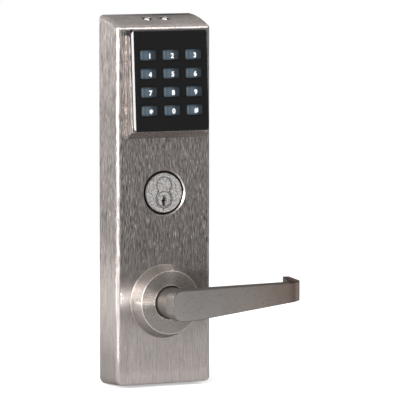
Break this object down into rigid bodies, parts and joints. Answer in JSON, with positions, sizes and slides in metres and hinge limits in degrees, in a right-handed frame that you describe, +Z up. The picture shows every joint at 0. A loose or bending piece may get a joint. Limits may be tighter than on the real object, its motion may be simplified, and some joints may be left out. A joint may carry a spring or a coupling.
{
  "type": "door_lock_trim",
  "caption": "Brushed-steel escutcheon for an electronic mortise lock: raised black keypad, interchangeable-core key cylinder, round rose and a return lever on a square spindle.",
  "frame": {"origin": "On the face of the door, on the trim's centreline, midway between the lever's axis (40.1 mm below) and the key cylinder's axis (40.1 mm above).", "axes": "+X to the right seen from outside, towards the lever's tip; +Y into the door; +Z up. The user is on the -Y side."},
  "size_m": [0.1331, 0.1125, 0.2744],
  "materials": {
    "steel": "satin, brushed lengthways",
    "steel_smooth": "fine satin",
    "nickel": "satin nickel",
    "zinc": "zinc plated",
    "bright": "polished",
    "bronze": "plain",
    "brass": "plain",
    "black_gloss": "gloss",
    "key_plastic": "gloss with white characters",
    "black_plastic": "matt",
    "light_plastic": "matt",
    "rubber": "soft",
    "board": "solder mask"
  },
  "bodies": {
    "trim": {"housing": "steel", "back_plate": "zinc", "gasket": "rubber", "plate_screws": "zinc", "mount_posts": "zinc", "keypad_bezel": "black_gloss", "keypad_mat": "rubber", "keypad_board": "board", "dome_switches": "bright", "status_leds": "light_plastic", "sounder": "black_plastic", "board_screws": "zinc", "cable_sockets": "light_plastic", "ribbon_cable": "light_plastic", "control_board": "board", "control_chips": "black_plastic", "board_spacers": "brass", "contact_insulators": "black_plastic", "contact_studs": "bright", "contact_nuts": "zinc", "contact_leads": "brass", "cable_socket": "light_plastic", "cable_grommet": "rubber", "cylinder_body": "nickel", "cylinder_collar": "black_plastic", "core_body": "nickel", "driver_pins": "brass", "pin_springs": "bright", "rose": "steel_smooth", "rose_nut": "zinc", "lever_bushing": "bronze", "spring_cage": "zinc", "cage_screws": "zinc", "return_spring": "zinc"},
    "lever_set": {"lever": "steel_smooth", "lever_set_screw": "zinc", "retaining_ring": "zinc", "lever_hub": "zinc", "spindle": "zinc"},
    "plug_set": {"plug": "nickel", "key_pins": "brass", "cylinder_cam": "zinc", "cam_screws": "zinc"},
    "key_1_body": {"key_1": "key_plastic"},
    "key_2_body": {"key_2": "key_plastic"},
    "key_3_body": {"key_3": "key_plastic"},
    "key_4_body": {"key_4": "key_plastic"},
    "key_5_body": {"key_5": "key_plastic"},
    "key_6_body": {"key_6": "key_plastic"},
    "key_7_body": {"key_7": "key_plastic"},
    "key_8_body": {"key_8": "key_plastic"},
    "key_9_body": {"key_9": "key_plastic"},
    "key_star_body": {"key_star": "key_plastic"},
    "key_0_body": {"key_0": "key_plastic"},
    "key_hash_body": {"key_hash": "key_plastic"}
  },
  "joints": [
    {"name": "lever_turn", "type": "hinge", "parent": "trim", "child": "lever_set", "pos_m": [0, -0.0315, -0.04013], "axis": [0, 1, 0], "range_deg": [-45, 45], "stiffness_Nm_per_rad": 1.2},
    {"name": "plug_turn", "type": "hinge", "parent": "trim", "child": "plug_set", "pos_m": [0, -0.0315, 0.03553], "axis": [0, 1, 0], "range_deg": [-180, 180]},
    {"name": "press_1", "type": "slide", "parent": "trim", "child": "key_1_body", "axis": [0, 0.9978, -0.0663], "range_m": [0, 0.0009], "stiffness_N_per_m": 1500},
    {"name": "press_2", "type": "slide", "parent": "trim", "child": "key_2_body", "axis": [0, 0.9978, -0.0663], "range_m": [0, 0.0009], "stiffness_N_per_m": 1500},
    {"name": "press_3", "type": "slide", "parent": "trim", "child": "key_3_body", "axis": [0, 0.9978, -0.0663], "range_m": [0, 0.0009], "stiffness_N_per_m": 1500},
    {"name": "press_4", "type": "slide", "parent": "trim", "child": "key_4_body", "axis": [0, 0.9978, -0.0663], "range_m": [0, 0.0009], "stiffness_N_per_m": 1500},
    {"name": "press_5", "type": "slide", "parent": "trim", "child": "key_5_body", "axis": [0, 0.9978, -0.0663], "range_m": [0, 0.0009], "stiffness_N_per_m": 1500},
    {"name": "press_6", "type": "slide", "parent": "trim", "child": "key_6_body", "axis": [0, 0.9978, -0.0663], "range_m": [0, 0.0009], "stiffness_N_per_m": 1500},
    {"name": "press_7", "type": "slide", "parent": "trim", "child": "key_7_body", "axis": [0, 0.9978, -0.0663], "range_m": [0, 0.0009], "stiffness_N_per_m": 1500},
    {"name": "press_8", "type": "slide", "parent": "trim", "child": "key_8_body", "axis": [0, 0.9978, -0.0663], "range_m": [0, 0.0009], "stiffness_N_per_m": 1500},
    {"name": "press_9", "type": "slide", "parent": "trim", "child": "key_9_body", "axis": [0, 0.9978, -0.0663], "range_m": [0, 0.0009], "stiffness_N_per_m": 1500},
    {"name": "press_star", "type": "slide", "parent": "trim", "child": "key_star_body", "axis": [0, 0.9978, -0.0663], "range_m": [0, 0.0009], "stiffness_N_per_m": 1500},
    {"name": "press_0", "type": "slide", "parent": "trim", "child": "key_0_body", "axis": [0, 0.9978, -0.0663], "range_m": [0, 0.0009], "stiffness_N_per_m": 1500},
    {"name": "press_hash", "type": "slide", "parent": "trim", "child": "key_hash_body", "axis": [0, 0.9978, -0.0663], "range_m": [0, 0.0009], "stiffness_N_per_m": 1500}
  ]
}
